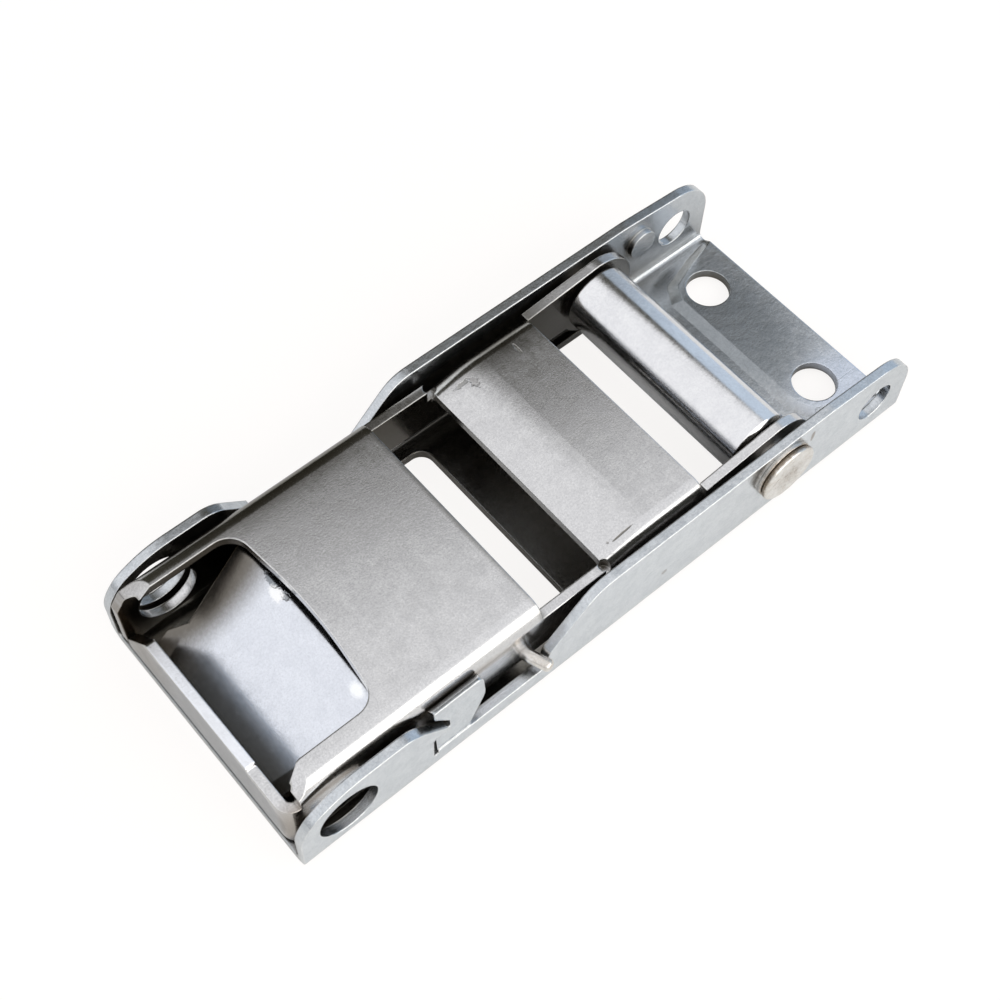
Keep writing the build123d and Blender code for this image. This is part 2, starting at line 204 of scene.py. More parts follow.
def edge_group():
    """Rounded, rubbed edges: a softened normal and a mask of where it departs from the true one."""
    made, t, given, out = group(
        "Worn edges",
        [("Radius", FLOAT, 0.0004), ("Vector", VECTOR, None), ("Breakup", FLOAT, 0.4)],
        [("Mask", FLOAT), ("Normal", VECTOR)],
    )
    bevel = t.node("ShaderNodeBevel", {"Radius": given["Radius"]}, samples=6)
    true_normal = t.node("ShaderNodeNewGeometry").outputs["True Normal"]
    agree = t.vector("DOT_PRODUCT", bevel.outputs[0], true_normal).outputs["Value"]
    edge = t.ramp(agree, *EDGE_AGREEMENT)
    patchy = t.ramp(t.noise(given["Vector"], RUBBED_PATCHES, detail=3.0, rough=0.6), *RUBBED_LEVELS)
    missing = t.product(t.math("SUBTRACT", 1.0, patchy), given["Breakup"])
    t.feed(out["Mask"], t.product(edge, t.math("SUBTRACT", 1.0, missing)))
    t.feed(out["Normal"], bevel.outputs[0])
    return made


def scratch_group():
    """Short handling marks in two directions."""
    made, t, given, out = group(
        "Handling marks",
        [("Vector", VECTOR, None), ("Amount", FLOAT, 0.5), ("Seed", FLOAT, 0.0)],
        [("Marks", FLOAT), ("Dings", FLOAT)],
    )
    moved = t.shifted(given["Vector"], 1, given["Seed"])
    first = t.noise(t.stretched(moved, *FIRST_MARKS), 1.0, detail=1.0, rough=0.5)
    second = t.noise(t.stretched(moved, *SECOND_MARKS), 1.0, detail=1.0, rough=0.5)
    lines = t.math("MAXIMUM", t.ramp(first, *FIRST_LEVELS), t.ramp(second, *SECOND_LEVELS))
    t.feed(out["Marks"], t.math("MULTIPLY", lines, given["Amount"], clamp=True))
    cells = t.node("ShaderNodeTexVoronoi", {"Vector": moved, "Scale": DING_CELLS}, feature="F1")
    dings = t.ramp(cells.outputs["Distance"], *DING_EDGE)
    t.feed(out["Dings"], t.math("MULTIPLY", dings, given["Amount"], clamp=True))
    return made


def dirt_and_shade_group():
    """Old lubricant held in corners, darkened there with painted shade, painted shade on the inward faces of
    the side walls, and the painted unlit brown of the spaces deep inside.
    """
    made, t, given, out = group(
        "Dirt and painted shade",
        [
            ("Vector", VECTOR, None),
            ("Reach", FLOAT, 0.003),
            ("Depth", FLOAT, 0.025),
            ("Half width", FLOAT, 0.028),
            ("Open", FLOAT, 0.58),
            ("Closed", FLOAT, 0.20),
        ],
        [("Corners", FLOAT), ("Painted inside shade", FLOAT), ("Painted inward shade", FLOAT)],
    )
    across = t.node("ShaderNodeSeparateXYZ", {0: given["Vector"]}).outputs["Y"]
    out_from_middle = t.math("ABSOLUTE", across)
    limit = t.math("ADD", given["Half width"], INSIDE_FADE)
    inside = t.ramp(out_from_middle, given["Half width"], limit, 1.0, 0.0)
    # Corners: patchy dirt, with painted shade where a short occlusion test finds the sky closed off
    near_sky = t.node("ShaderNodeAmbientOcclusion", {"Distance": given["Reach"]}, samples=6).outputs["AO"]
    held = t.noise(given["Vector"], DIRT_PATCHES, detail=4.0, rough=0.6)
    patchy = t.ramp(held, *DIRT_LEVELS, LEAST_DIRT, 1.0)
    t.feed(out["Corners"], t.product(t.ramp(near_sky, *CORNER_SKY), patchy))
    # Painted shade deep inside, from a long occlusion test
    far_sky = t.node("ShaderNodeAmbientOcclusion", {"Distance": given["Depth"]}, samples=8).outputs["AO"]
    t.feed(out["Painted inside shade"], t.product(t.ramp(far_sky, given["Open"], given["Closed"]), inside))
    # Painted shade on the inward faces of the side walls
    true_normal = t.node("ShaderNodeNewGeometry").outputs["True Normal"]
    sideways = t.node("ShaderNodeSeparateXYZ", {0: true_normal}).outputs["Y"]
    facing = t.product(t.math("SIGN", across), t.product(sideways, -1.0))
    far_out = t.ramp(out_from_middle, *WALL_BAND)
    t.feed(out["Painted inward shade"], t.product(t.ramp(facing, *FACING_LEVELS), far_out))
    return made


def spot_group():
    """One round or long mark at a place on the surface, with a ragged rim."""
    made, t, given, out = group(
        "Single mark",
        [
            ("Vector", VECTOR, None),
            ("Place", VECTOR, (0, 0, 0)),
            ("Reach", VECTOR, (0.001, 0.001, 0.001)),
            ("Ragged", FLOAT, 0.3),
            ("Softness", FLOAT, 0.2),
        ],
        [("Mask", FLOAT)],
    )
    off = t.vector("SUBTRACT", given["Vector"], given["Place"]).outputs[0]
    scaled = t.vector("DIVIDE", off, given["Reach"]).outputs[0]
    far = t.vector("LENGTH", scaled).outputs["Value"]
    rim = t.noise(given["Vector"], RIM_GRAIN, detail=3.0, rough=0.6)
    bite = t.product(t.math("SUBTRACT", rim, NOISE_MIDDLE), t.product(given["Ragged"], RIM_GAIN))
    ragged = t.math("ADD", far, bite)
    outer = t.math("ADD", 1.0, given["Softness"])
    inner = t.math("SUBTRACT", 1.0, given["Softness"])
    t.feed(out["Mask"], t.ramp(ragged, outer, inner))
    return made


GROUP_MAKERS = {
    "mottle": mottle_group,
    "speckle": speckle_group,
    "edge": edge_group,
    "scratch": scratch_group,
    "dirt_and_shade": dirt_and_shade_group,
    "spot": spot_group,
}
groups = {}


def use_group(tree, kind, values):
    """Place a shared group in a material's tree, making it the first time."""
    if kind not in groups:
        groups[kind] = GROUP_MAKERS[kind]()
    made = tree.node("ShaderNodeGroup", node_tree=groups[kind])
    for key, value in values.items():
        tree.feed(made.inputs[key], value)
    return made.outputs


def colour(rgb):
    return (rgb[0], rgb[1], rgb[2], 1.0)


# Shares of the patches and the cells in the clouding of the zinc
PATCH_SHARE, CELL_SHARE = 0.55, 0.45
# Colours that every surface shares, the rubbed edges' colour standing for wear with a painted highlight, how
# strongly a scratch shows, and how much of an edge is left unrubbed
SPECKLE_TINT = (0.40, 0.40, 0.41)
SCRATCH_TINT = (0.90, 0.90, 0.91)
RUBBED_AND_HIGHLIGHT_TINT = (0.95, 0.95, 0.93)
SCRATCH_STRENGTH = 0.4
EDGE_BREAKUP = 0.35
# What each pattern adds to the roughness or, as a polish, takes from it
CLOUD_ROUGHNESS = 0.06
STREAK_ROUGHNESS = 0.05
RUBBED_POLISH = 0.05
DIRT_ROUGHNESS = 0.25
LEAST_ROUGHNESS = 0.06
# What each pattern adds to the relief, or takes from it, and the height of a full step in metres
CELL_RELIEF = 0.3
SPECKLE_RELIEF = 0.12
STREAK_RELIEF = 0.06
SCRATCH_RELIEF = 0.4
DING_RELIEF = 0.8
RELIEF_HEIGHT = 0.00003


def steel(name, finish, stretch=ALONG_GRAIN, seed=0.0, marks=()):
    """A plated steel surface in the given finish, with single marks at stated places."""
    material = bpy.data.materials.new(name)
    material.use_nodes = True
    t = Tree(material.node_tree)
    shader = material.node_tree.nodes["Principled BSDF"]
    shader.inputs["Metallic"].default_value = 1.0
    where = t.node("ShaderNodeTexCoord").outputs["Object"]

    mottle = use_group(t, "mottle", {"Vector": where, "Scale": finish.mottle_scale, "Seed": seed})
    sheet = use_group(t, "speckle", {"Vector": where, "Stretch": stretch})
    edge = use_group(t, "edge", {"Vector": where, "Radius": finish.edge_radius, "Breakup": EDGE_BREAKUP})
    scratch = use_group(t, "scratch", {"Vector": where, "Amount": finish.marks, "Seed": seed})
    dirt_and_shade_values = {
        "Vector": where,
        "Reach": finish.corner_dirt_and_shade_reach,
        "Depth": finish.hidden_reach,
        "Half width": finish.half_width,
        "Open": finish.open_sky,
        "Closed": finish.closed_sky,
    }
    dirt_and_shade = use_group(t, "dirt_and_shade", dirt_and_shade_values)

    patches = t.product(mottle["Patches"], PATCH_SHARE)
    clouds = t.math("ADD", patches, t.product(mottle["Cells"], CELL_SHARE))
    tint = t.mix(clouds, colour(finish.tint), colour(finish.second_tint))
    tint = t.mix(t.product(mottle["Specks"], finish.specks), tint, colour(finish.speck_tint))
    tint = t.mix(t.product(sheet["Speckle"], finish.speckle), tint, colour(SPECKLE_TINT))
    tint = t.mix(t.product(scratch["Marks"], SCRATCH_STRENGTH), tint, colour(SCRATCH_TINT))
    # Rubbed edges tinted bright: wear with a painted highlight
    tint = t.mix(t.product(edge["Mask"], finish.edge_wear_and_highlight), tint, colour(RUBBED_AND_HIGHLIGHT_TINT))
    # Dirt with painted shade in the corners
    tint = t.mix(t.product(dirt_and_shade["Corners"], finish.corner_dirt_and_shade), tint, colour(finish.corner_dirt_and_shade_tint))
    # Painted shade deep inside and on the inward faces of the side walls
    painted_inside_shade = t.product(dirt_and_shade["Painted inside shade"], finish.painted_inside_shade)
    painted_inward_shade = t.product(dirt_and_shade["Painted inward shade"], finish.painted_inward_shade)
    tint = t.mix(t.math("MAXIMUM", painted_inside_shade, painted_inward_shade), tint, colour(finish.painted_shade_tint))

    rough = t.math("ADD", finish.roughness, t.product(clouds, CLOUD_ROUGHNESS))
    rough = t.math("ADD", rough, t.product(sheet["Streaks"], STREAK_ROUGHNESS))
    rough = t.math("SUBTRACT", rough, t.product(edge["Mask"], RUBBED_POLISH))
    rough = t.math("ADD", rough, t.product(dirt_and_shade["Corners"], DIRT_ROUGHNESS))

    height = t.product(mottle["Patches"], finish.waviness)
    height = t.math("ADD", height, t.product(mottle["Cells"], finish.waviness * CELL_RELIEF))
    height = t.math("ADD", height, t.product(sheet["Speckle"], SPECKLE_RELIEF))
    height = t.math("ADD", height, t.product(sheet["Streaks"], STREAK_RELIEF))
    height = t.math("SUBTRACT", height, t.product(scratch["Marks"], SCRATCH_RELIEF))
    height = t.math("SUBTRACT", height, t.product(scratch["Dings"], DING_RELIEF))
    # Single marks: real pits, dents, chips and scratches, and painted shade, reflections and highlights, as
    # the tables say
    for mark in marks:
        spot_values = {
            "Vector": where,
            "Place": place(*mark.at),
            "Reach": metres(*mark.reach),
            "Ragged": mark.ragged,
            "Softness": mark.softness,
        }
        mask = use_group(t, "spot", spot_values)["Mask"]
        tint = t.mix(t.product(mask, mark.strength), tint, colour(mark.tint))
        height = t.math("SUBTRACT", height, t.product(mask, mark.depth))

    bump_values = {
        "Height": height,
        "Normal": edge["Normal"],
        "Strength": finish.relief,
        "Distance": RELIEF_HEIGHT,
    }
    bump = t.node("ShaderNodeBump", bump_values)
    t.feed(shader.inputs["Base Color"], tint)
    t.feed(shader.inputs["Roughness"], t.math("MAXIMUM", rough, LEAST_ROUGHNESS))
    t.feed(shader.inputs["Normal"], bump.outputs[0])
    return material


def dress(node, material):
    """Give one CAD node its finish."""
    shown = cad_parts[node]
    shown.data.materials.clear()
    shown.data.materials.append(material)


def tint_of(name, description, default):
    limits = {"subtype": "COLOR", "min": 0, "max": 1}
    return FloatVectorProperty(name=name, description=description, default=default, **limits)


def share_of(name, description, default):
    return FloatProperty(name=name, description=description, default=default, subtype="FACTOR", min=0, max=1)


def length_of(name, description, default):
    return FloatProperty(name=name, description=description, default=default, unit="LENGTH", min=0)


def number_of(name, description, default, least=0.0, unit="NONE"):
    return FloatProperty(name=name, description=description, default=default, unit=unit, min=least)


def angle_of(name, description, degrees):
    return FloatProperty(name=name, description=description, default=math.radians(degrees), subtype="ANGLE")


class SteelFinish:
    """What every plated surface has; each piece changes the defaults that differ on it."""

    tint: tint_of("Tint", "Colour of the brighter patches", (0.76, 0.78, 0.82))
    second_tint: tint_of("Second tint", "Colour of the duller patches", (0.66, 0.69, 0.74))
    speck_tint: tint_of("Speck tint", "Colour of the specks in the plating", (0.36, 0.37, 0.42))
    specks: share_of("Specks", "How strongly the specks show", 0.30)
    speckle: share_of("Speckle", "How strongly the fine speckle shows", 0.20)
    roughness: share_of("Roughness", "Roughness of the cleanest surface", 0.24)
    mottle_scale: number_of("Mottle scale", "Patches per metre", 300.0, least=1.0)
    waviness: number_of("Waviness", "Height of the patches against the speckle", 0.5)
    relief: share_of("Relief", "Strength of the surface relief", 0.7)
    marks: share_of("Marks", "How many handling marks show", 0.4)
    edge_radius: length_of("Edge radius", "Rounding of the sheared edges", 0.0004)
    # Rubbed edges: wear with a painted highlight
    edge_wear_and_highlight: share_of("Edge wear and highlight", "How bright the rubbed edges are, with their painted highlight", 0.7)
    # Corners darken with dirt and painted shade; the spaces deep inside and the inward faces of the side
    # walls get painted shade
    corner_dirt_and_shade: share_of("Dirt", "How dark the corners are", 0.7)
    corner_dirt_and_shade_tint: tint_of("Corner dirt and shade tint", "Colour of the dirt and painted shade in the corners", (0.11, 0.095, 0.075))
    corner_dirt_and_shade_reach: length_of("Corner dirt and shade reach", "How far the dirt and painted shade spread from a corner", 0.003)
    painted_inside_shade: share_of("Painted inside shade", "How dark the spaces deep inside are", 0.9)
    painted_shade_tint: tint_of("Painted shade tint", "Colour of the painted shade deep inside and on inward faces", (0.10, 0.085, 0.062))
    hidden_reach: length_of("Hidden reach", "How far away a covering piece darkens a face", 0.025)
    open_sky: share_of("Open sky", "Share of open sky where the inside starts to darken", 0.58)
    closed_sky: share_of("Closed sky", "Share of open sky where it is darkest", 0.20)
    half_width: length_of("Half width", "How far from the middle the inside reaches", 0.0245)
    painted_inward_shade: share_of("Painted inward shade", "How dark the inward faces of the side walls are", 0.0)


class FrameFinish(SteelFinish, bpy.types.PropertyGroup):
    """Finish of the channel-shaped frame."""

    tint: tint_of("Tint", "Colour of the brighter patches", (0.69, 0.72, 0.75))
    second_tint: tint_of("Second tint", "Colour of the duller patches", (0.57, 0.605, 0.64))
    mottle_scale: number_of("Mottle scale", "Patches per metre", 420.0, least=1.0)
    specks: share_of("Specks", "How strongly the specks show", 0.5)
    speckle: share_of("Speckle", "How strongly the fine speckle shows", 0.38)
    waviness: number_of("Waviness", "Height of the patches against the speckle", 0.35)
    roughness: share_of("Roughness", "Roughness of the cleanest surface", 0.17)
    hidden_reach: length_of("Hidden reach", "How far away a covering piece darkens a face", 0.05)
    open_sky: share_of("Open sky", "Share of open sky where the inside starts to darken", 0.62)
    closed_sky: share_of("Closed sky", "Share of open sky where it is darkest", 0.28)
    half_width: length_of("Half width", "How far from the middle the inside reaches", 0.028)


class HandleFinish(SteelFinish, bpy.types.PropertyGroup):
    """Finish of the lever handle."""

    tint: tint_of("Tint", "Colour of the brighter patches", (0.75, 0.745, 0.745))
    second_tint: tint_of("Second tint", "Colour of the duller patches", (0.70, 0.695, 0.70))
    roughness: share_of("Roughness", "Roughness of the cleanest surface", 0.13)
    specks: share_of("Specks", "How strongly the specks show", 0.10)
    speckle: share_of("Speckle", "How strongly the fine speckle shows", 0.45)
    waviness: number_of("Waviness", "Height of the patches against the speckle", 0.12)
    marks: share_of("Marks", "How many handling marks show", 0.12)
    # Rubbed edges: wear with a painted highlight
    edge_wear_and_highlight: share_of("Edge wear and highlight", "How bright the rubbed edges are, with their painted highlight", 0.85)
    # Painted shade on the inward faces of the side walls
    painted_inward_shade: share_of("Painted inward shade", "How dark the inward faces of the side walls are", 0.8)


class LatchFinish(SteelFinish, bpy.types.PropertyGroup):
    """Finish of the finger latch."""

    tint: tint_of("Tint", "Colour of the brighter patches", (0.80, 0.825, 0.885))
    second_tint: tint_of("Second tint", "Colour of the duller patches", (0.74, 0.765, 0.825))
    roughness: share_of("Roughness", "Roughness of the cleanest surface", 0.15)
    waviness: number_of("Waviness", "Height of the patches against the speckle", 0.15)
    marks: share_of("Marks", "How many handling marks show", 0.12)
    hidden_reach: length_of("Hidden reach", "How far away a covering piece darkens a face", 0.006)


class RollerFinish(SteelFinish, bpy.types.PropertyGroup):
    """Finish of the roller."""

    tint: tint_of("Tint", "Colour of the brighter patches", (0.84, 0.84, 0.85))
    second_tint: tint_of("Second tint", "Colour of the duller patches", (0.77, 0.77, 0.79))
    roughness: share_of("Roughness", "Roughness of the cleanest surface", 0.09)
    specks: share_of("Specks", "How strongly the specks show", 0.12)
    speckle: share_of("Speckle", "How strongly the fine speckle shows", 0.12)
    waviness: number_of("Waviness", "Height of the patches against the speckle", 0.2)


class PinFinish(SteelFinish, bpy.types.PropertyGroup):
    """Finish of the two pins."""

    tint: tint_of("Tint", "Colour of the brighter patches", (0.83, 0.81, 0.78))
    second_tint: tint_of("Second tint", "Colour of the duller patches", (0.62, 0.575, 0.52))
    roughness: share_of("Roughness", "Roughness of the cleanest surface", 0.20)
    edge_radius: length_of("Edge radius", "Rounding of the edges", 0.00025)


class StageSettings(bpy.types.PropertyGroup):
    """Camera, floor and lights."""

    eye: FloatVectorProperty(
        name="Camera place",
        description="Where the camera stands",
        default=(-0.11183, -0.11537, 0.27744),
        unit="LENGTH",
    )
    azimuth: angle_of("Azimuth", "Turn of the view about Z", 317.47)
    elevation: angle_of("Elevation", "Height of the view", 59.41)
    roll: angle_of("Roll", "Turn of the picture", 2.41)
    lens: number_of("Lens", "Focal length in millimetres", 58.27, unit="CAMERA")
    floor_tint: tint_of("Floor tint", "Colour of the lit floor", (1.0, 0.985, 0.97))
    backdrop: tint_of("Backdrop", "Colour behind the floor as the camera sees it", (0.98, 0.975, 0.965))
    glow: number_of("Glow", "Light of the floor as the camera sees it", 0.88)
    sky: number_of("Sky", "Strength of the bright part of the studio", 1.04)
    gloom_tint: tint_of("Gloom tint", "Colour of the dark end of the studio", (0.062, 0.058, 0.044))
    gloom_start: number_of("Gloom start", "Lean of a direction where the dark end starts", 0.482)
    gloom_full: number_of("Gloom full", "Lean of a direction where it is fully dark", 0.542)
    side_tint: tint_of("Side tint", "Colour of the low light beyond the plate end", (0.63, 0.735, 0.865))
    key: number_of("Key", "Power of the light at the front", 6.0, unit="POWER")


# Each mark: place, reach, colour, strength, depth, raggedness and softness
FRAME_MARKS = [
    # Painted reflection: dark patch of the end plate
    Mark((137.5, 5.0, 3.0), (13, 19, 2), (0.16, 0.18, 0.195), 0.65, 0.0, 0.12, 0.5),
    # Painted reflection: bright bluish patch of the end plate
    Mark((146.0, -19.0, 3.0), (9, 7, 2), (0.74, 0.80, 0.92), 0.7, 0.0, 0.08, 0.6),
    # Pit in the near wall
    Mark((84.9, -30.0, 8.6), (0.7, 0.6, 0.6), (0.30, 0.27, 0.26), 0.8, 3.0, 0.2, 0.2),
    # Dark brown streak by the pin head
    Mark((122.6, -30.0, 18.5), (0.5, 0.6, 1.6), (0.22, 0.17, 0.13), 0.8, 1.0, 0.25, 0.2),
]
HANDLE_MARKS = [
    # Crease at the near corner of the bridge
    Mark((78.6, -22.8, 20.3), (3.1, 0.22, 1), (0.16, 0.15, 0.13), 0.85, 2.0, 0.12, 0.2),
    # Fold at the near corner of the bridge
    Mark((76.3, -22.4, 20.3), (1.2, 0.6, 1), (0.30, 0.29, 0.27), 0.7, 2.0, 0.3, 0.2),
    # Bright scratch on the bridge
    Mark((91.5, 20.7, 20.4), (0.35, 1.4, 1), (0.95, 0.94, 0.92), 0.8, 1.0, 0.3, 0.2),
    # Dent at the far corner of the bridge
    Mark((77.9, 21.4, 19.6), (1.6, 0.5, 1), (0.30, 0.30, 0.28), 0.6, 4.0, 0.5, 0.2),
    # Second dent of the bridge
    Mark((80.2, 20.2, 19.9), (0.8, 1.2, 1), (0.42, 0.41, 0.40), 0.5, 3.0, 0.5, 0.2),
    # Painted reflection: dark outside of the end wall
    Mark((0.2, 0.0, 9.0), (0.6, 27, 8), (0.21, 0.215, 0.235), 0.85, 0.0, 0.1, 0.1),
    # Painted shade: dark brown inside of the end wall
    Mark((2.2, 0.0, 8.2), (0.6, 27, 6.2), (0.12, 0.10, 0.075), 0.85, 0.0, 0.1, 0.3),
    # Painted highlight: bright top of the end wall
    Mark((1.2, 0.0, 17.6), (1.4, 26, 0.6), (0.93, 0.95, 1.0), 0.85, 0.0, 0.1, 0.2),
    # Painted reflection: dark far bend of the cover
    Mark((38.0, 27.5, 19.5), (34, 6.2, 8.5), (0.10, 0.088, 0.064), 0.85, 0.0, 0.03, 0.7),
    # Painted reflection: dark far bend of the bridge
    Mark((90.5, 27.0, 19.5), (12.5, 6.6, 8.5), (0.10, 0.09, 0.068), 0.8, 0.0, 0.03, 0.6),
    # Painted shade: dark end of the cover
    Mark((57.3, 0.0, 19.3), (1.1, 30, 4), (0.20, 0.195, 0.18), 0.75, 0.0, 0.05, 0.5),
    # Painted reflection: brown far corner of the end wall
    Mark((0.6, 20.5, 10.5), (3, 9, 9), (0.19, 0.15, 0.11), 0.7, 0.0, 0.05, 0.6),
    # Painted reflection: brown near corner of the end wall
    Mark((2.0, -26.2, 9.0), (8, 3, 9), (0.22, 0.165, 0.11), 0.65, 0.0, 0.05, 0.6),
    # Painted reflection: brown line under the near bend of the cover
    Mark((27.0, -26.1, 17.5), (26, 1.2, 1.3), (0.24, 0.185, 0.13), 0.7, 0.0, 0.05, 0.6),
]
LATCH_MARKS = [
    # Brown shade by the far wall
    Mark((16.0, 20.8, 13.0), (24, 8, 14), (0.11, 0.092, 0.066), 0.9, 0.0, 0.04, 0.45),
    # Chip under the cut edge
    Mark((25.3, 11.4, 17.4), (0.9, 2, 2), (0.20, 0.22, 0.24), 0.85, 2.0, 0.3, 0.2),
    # Second chip
    Mark((25.1, 7.4, 17.5), (0.7, 1, 2), (0.22, 0.23, 0.24), 0.8, 2.0, 0.3, 0.2),
    # Painted highlight: bright spot by the chips
    Mark((24.2, 8.9, 17.1), (1.1, 1.8, 2), (0.98, 0.98, 0.98), 0.9, 1.0, 0.3, 0.3),
    # Painted highlight: bright spot at the near corner
    Mark((23.8, -15.2, 16.9), (1, 1.6, 2), (0.98, 0.99, 1.0), 0.9, 0.5, 0.2, 0.4),
]
PIN_MARKS = [
    # Painted shade: brown edge under the pin head
    Mark((115.0, -31.2, 15.0), (8, 1, 8), (0.17, 0.12, 0.07), 0.85, 0.0, 0.1, 0.2),
]


class BUCKLE_OT_frame(bpy.types.Operator):
    """Finish the channel-shaped frame"""

    bl_idname = "buckle.frame"
    bl_label = "Frame"

    def execute(self, context):
        dress("frame", steel("frame_zinc", context.scene.buckle_frame, marks=FRAME_MARKS))
        return {"FINISHED"}


class BUCKLE_OT_handle(bpy.types.Operator):
    """Finish the lever handle"""

    bl_idname = "buckle.handle"
    bl_label = "Handle"

    def execute(self, context):
        finish = context.scene.buckle_handle
        satin = steel("handle_satin", finish, stretch=ACROSS_GRAIN, seed=0.37, marks=HANDLE_MARKS)
        dress("handle", satin)
        return {"FINISHED"}


class BUCKLE_OT_latch(bpy.types.Operator):
    """Finish the finger latch"""

    bl_idname = "buckle.latch"
    bl_label = "Latch"

    def execute(self, context):
        finish = context.scene.buckle_latch
        dress("latch_plate", steel("latch_satin", finish, seed=0.71, marks=LATCH_MARKS))
        return {"FINISHED"}


class BUCKLE_OT_roller(bpy.types.Operator):
    """Finish the roller"""

    bl_idname = "buckle.roller"
    bl_label = "Roller"

    def execute(self, context):
        bright = steel("roller_bright", context.scene.buckle_roller, stretch=AXLE_GRAIN, seed=1.13)
        dress("roller", bright)
        return {"FINISHED"}


class BUCKLE_OT_pins(bpy.types.Operator):
    """Finish the pivot pin and the latch pin"""

    bl_idname = "buckle.pins"
    bl_label = "Pins"

    def execute(self, context):
        finish = context.scene.buckle_pins
        turned = steel("pin_turned", finish, stretch=AXLE_GRAIN, seed=1.9, marks=PIN_MARKS)
        dress("pivot_pin", turned)
        dress("latch_pin", turned)
        return {"FINISHED"}


BLACK = (0.0, 0.0, 0.0)
# Floor: half its side and its drop under the part, in metres
FLOOR_REACH = 3.0
FLOOR_DROP = 0.00005
# Paper of the floor: its colour as a light, its colour as seen, what its clouds turn these to, and its gloss
PAPER_LIT = (0.85, 0.84, 0.82)
PAPER_SEEN = (0.14, 0.135, 0.135)
PAPER_SEEN_CLOUD = (0.16, 0.155, 0.155)
PAPER_GLOW_CLOUD = (0.9, 0.88, 0.86)
PAPER_CLOUDS, CLOUD_SHARE = 6.0, 0.03
PAPER_ROUGHNESS, PAPER_GLOSS = 0.75, 0.1
# Studio: weights of X, Y and Z in a direction's lean, height and shade of the low band, and the sky's white
LEAN = (0.35, 1.0, 0.0)
LOW_BAND_HEIGHT, LOW_BAND_SHADE = 0.28, 0.35
SKY_BALANCE = (1.0, 1.005, 1.02)
# Limits along X and along Y between which the side light starts and is full
SIDE_ALONG = (0.56, 0.68)
SIDE_ACROSS = (0.48, 0.37)
# Panel of light at the front: its place, aim, size and colour
FRONT_AT = (0.05, -0.75, 0.42)
FRONT_AIM = (0, 0, 0.01)
FRONT_SIZE = (1.6, 0.8)
FRONT_TINT = (1.0, 0.97, 0.91)
# Camera: sensor width in millimetres and nearest distance in metres
SENSOR_WIDTH = 36.0
NEAREST = 0.01


def area_light(name, place_at, aim_at, size, power, tint):
    """A soft panel that faces a point."""
    data = bpy.data.lights.new(name, "AREA")
    data.shape = "RECTANGLE"
    data.size, data.size_y = size
    data.energy = power
    data.color = tint
    light = bpy.data.objects.new(name, data)
    light.location = place_at
    light.rotation_euler = (Vector(aim_at) - Vector(place_at)).to_track_quat("-Z", "Y").to_euler()
    bpy.context.scene.collection.objects.link(light)


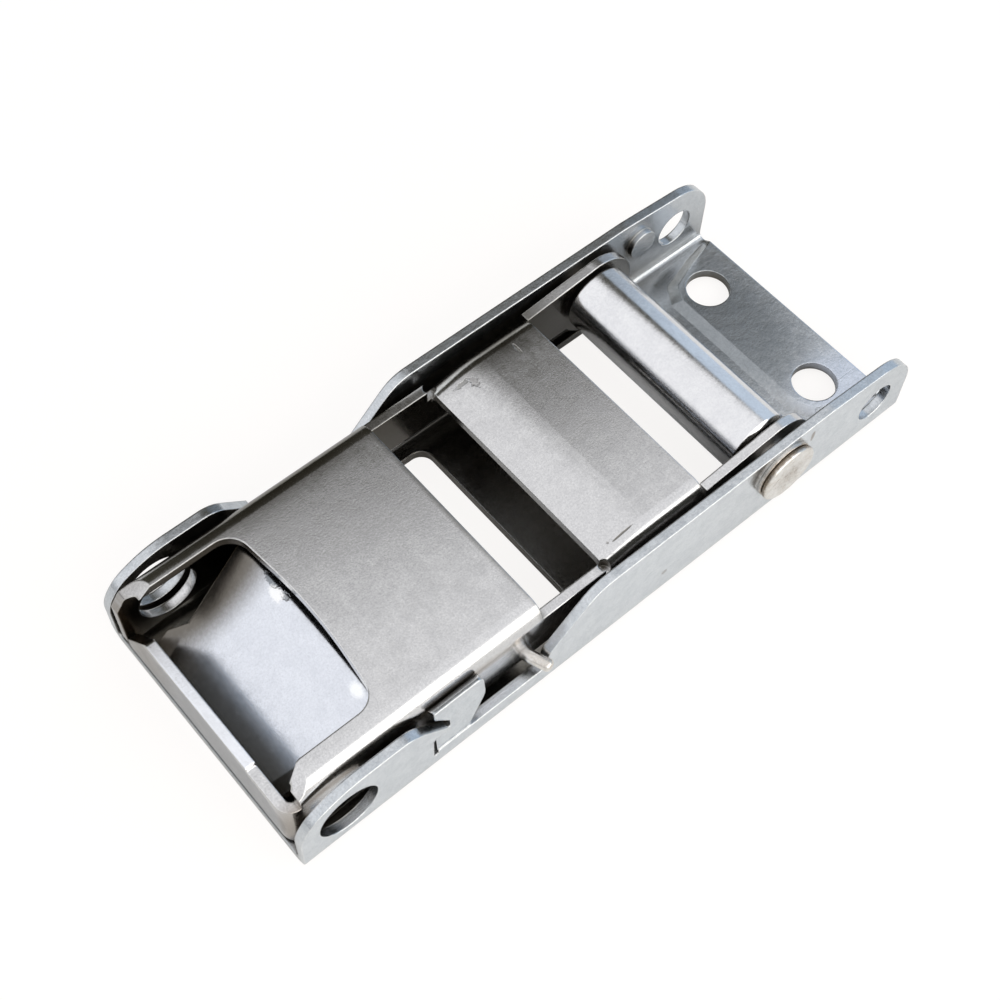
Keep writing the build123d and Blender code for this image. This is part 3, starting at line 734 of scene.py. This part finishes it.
class BUCKLE_OT_stage(bpy.types.Operator):
    """Set the floor, the lights and the camera"""

    bl_idname = "buckle.stage"
    bl_label = "Stage"

    def execute(self, context):
        settings = context.scene.buckle_stage
        self.floor(settings)
        self.lights(context, settings)
        self.camera(context, settings)
        return {"FINISHED"}

    def floor(self, settings):
        mesh = bpy.data.meshes.new("floor")
        sides = ((-1, -1), (1, -1), (1, 1), (-1, 1))
        corners = [(FLOOR_REACH * x, FLOOR_REACH * y, 0) for x, y in sides]
        mesh.from_pydata(corners, [], [(0, 1, 2, 3)])
        mesh.update()
        made = bpy.data.objects.new("floor", mesh)
        bpy.context.scene.collection.objects.link(made)
        made.location.z = -FLOOR_DROP
        material = bpy.data.materials.new("paper")
        material.use_nodes = True
        t = Tree(material.node_tree)
        shader = material.node_tree.nodes["Principled BSDF"]
        where = t.node("ShaderNodeTexCoord").outputs["Object"]
        cloud = t.noise(where, PAPER_CLOUDS, detail=2.0, rough=0.5)
        lit = colour(settings.floor_tint)
        seen = t.node("ShaderNodeLightPath").outputs["Is Camera Ray"]
        paper = t.mix(cloud, colour(PAPER_SEEN_CLOUD), colour(PAPER_SEEN))
        t.feed(shader.inputs["Base Color"], t.mix(seen, colour(PAPER_LIT), paper))
        shown = t.mix(t.product(cloud, CLOUD_SHARE), lit, colour(PAPER_GLOW_CLOUD))
        t.feed(shader.inputs["Emission Color"], t.mix(seen, colour(BLACK), shown))
        shader.inputs["Emission Strength"].default_value = settings.glow
        shader.inputs["Roughness"].default_value = PAPER_ROUGHNESS
        shader.inputs["Specular IOR Level"].default_value = PAPER_GLOSS
        mesh.materials.append(material)

    def lights(self, context, settings):
        world = bpy.data.worlds.new("studio")
        world.use_nodes = True
        t = Tree(world.node_tree)
        shade = world.node_tree.nodes["Background"]
        way = t.node("ShaderNodeTexCoord").outputs["Generated"]
        lean = t.vector("DOT_PRODUCT", way, LEAN).outputs["Value"]
        gloom = t.ramp(lean, settings.gloom_start, settings.gloom_full)
        parts = t.node("ShaderNodeSeparateXYZ", {0: way}).outputs
        horizon = t.ramp(parts["Z"], 0.0, LOW_BAND_HEIGHT, LOW_BAND_SHADE, 1.0)
        sky = [settings.sky * part for part in SKY_BALANCE]
        bright = t.mix(horizon, colour(BLACK), colour(sky))
        studio = t.mix(gloom, bright, colour(settings.gloom_tint))
        beyond = t.product(t.ramp(parts["X"], *SIDE_ALONG), t.ramp(parts["Y"], *SIDE_ACROSS))
        seen = t.node("ShaderNodeLightPath").outputs["Is Camera Ray"]
        lighting = t.mix(beyond, studio, colour(settings.side_tint))
        t.feed(shade.inputs["Color"], t.mix(seen, lighting, colour(settings.backdrop)))
        shade.inputs["Strength"].default_value = 1.0
        context.scene.world = world
        area_light("front", FRONT_AT, FRONT_AIM, FRONT_SIZE, settings.key, FRONT_TINT)
        context.scene.view_settings.view_transform = "Standard"

    def camera(self, context, settings):
        a, e, roll = settings.azimuth, settings.elevation, settings.roll
        back = Vector((math.sin(a) * math.cos(e), -math.cos(a) * math.cos(e), math.sin(e)))
        level = Vector((0, 0, 1)).cross(back).normalized()
        upright = back.cross(level)
        right = level * math.cos(roll) + upright * math.sin(roll)
        up = upright * math.cos(roll) - level * math.sin(roll)
        data = bpy.data.cameras.new("camera")
        data.lens = settings.lens
        data.sensor_width = SENSOR_WIDTH
        data.clip_start = NEAREST
        made = bpy.data.objects.new("camera", data)
        turn = Matrix((right, up, back)).transposed().to_4x4()
        made.matrix_world = Matrix.Translation(Vector(settings.eye)) @ turn
        context.scene.collection.objects.link(made)
        context.scene.camera = made


class BUCKLE_PT_panel(bpy.types.Panel):
    """The buckle's finishes and its studio, in the sidebar of the 3D view"""

    bl_label = "Strap buckle"
    bl_idname = "BUCKLE_PT_panel"
    bl_space_type = "VIEW_3D"
    bl_region_type = "UI"
    bl_category = "Buckle"

    def draw(self, context):
        for key, (operator, group_class) in STEPS.items():
            box = self.layout.box()
            box.operator(operator.bl_idname)
            settings = getattr(context.scene, key)
            for name in group_class.bl_rna.properties.keys():
                if name not in ("rna_type", "name"):
                    box.prop(settings, name)


STEPS = {
    "buckle_stage": (BUCKLE_OT_stage, StageSettings),
    "buckle_frame": (BUCKLE_OT_frame, FrameFinish),
    "buckle_handle": (BUCKLE_OT_handle, HandleFinish),
    "buckle_latch": (BUCKLE_OT_latch, LatchFinish),
    "buckle_roller": (BUCKLE_OT_roller, RollerFinish),
    "buckle_pins": (BUCKLE_OT_pins, PinFinish),
}


def register():
    for key, (operator, settings) in STEPS.items():
        bpy.utils.register_class(settings)
        bpy.utils.register_class(operator)
        setattr(bpy.types.Scene, key, PointerProperty(type=settings))
    bpy.utils.register_class(BUCKLE_PT_panel)


def unregister():
    bpy.utils.unregister_class(BUCKLE_PT_panel)
    for key, (operator, settings) in reversed(list(STEPS.items())):
        delattr(bpy.types.Scene, key)
        bpy.utils.unregister_class(operator)
        bpy.utils.unregister_class(settings)


def main():
    register()
    bpy.ops.buckle.stage()
    bpy.ops.buckle.frame()
    bpy.ops.buckle.handle()
    bpy.ops.buckle.latch()
    bpy.ops.buckle.roller()
    bpy.ops.buckle.pins()
    bpy.context.view_layer.update()


if __name__ == "__main__":
    main()
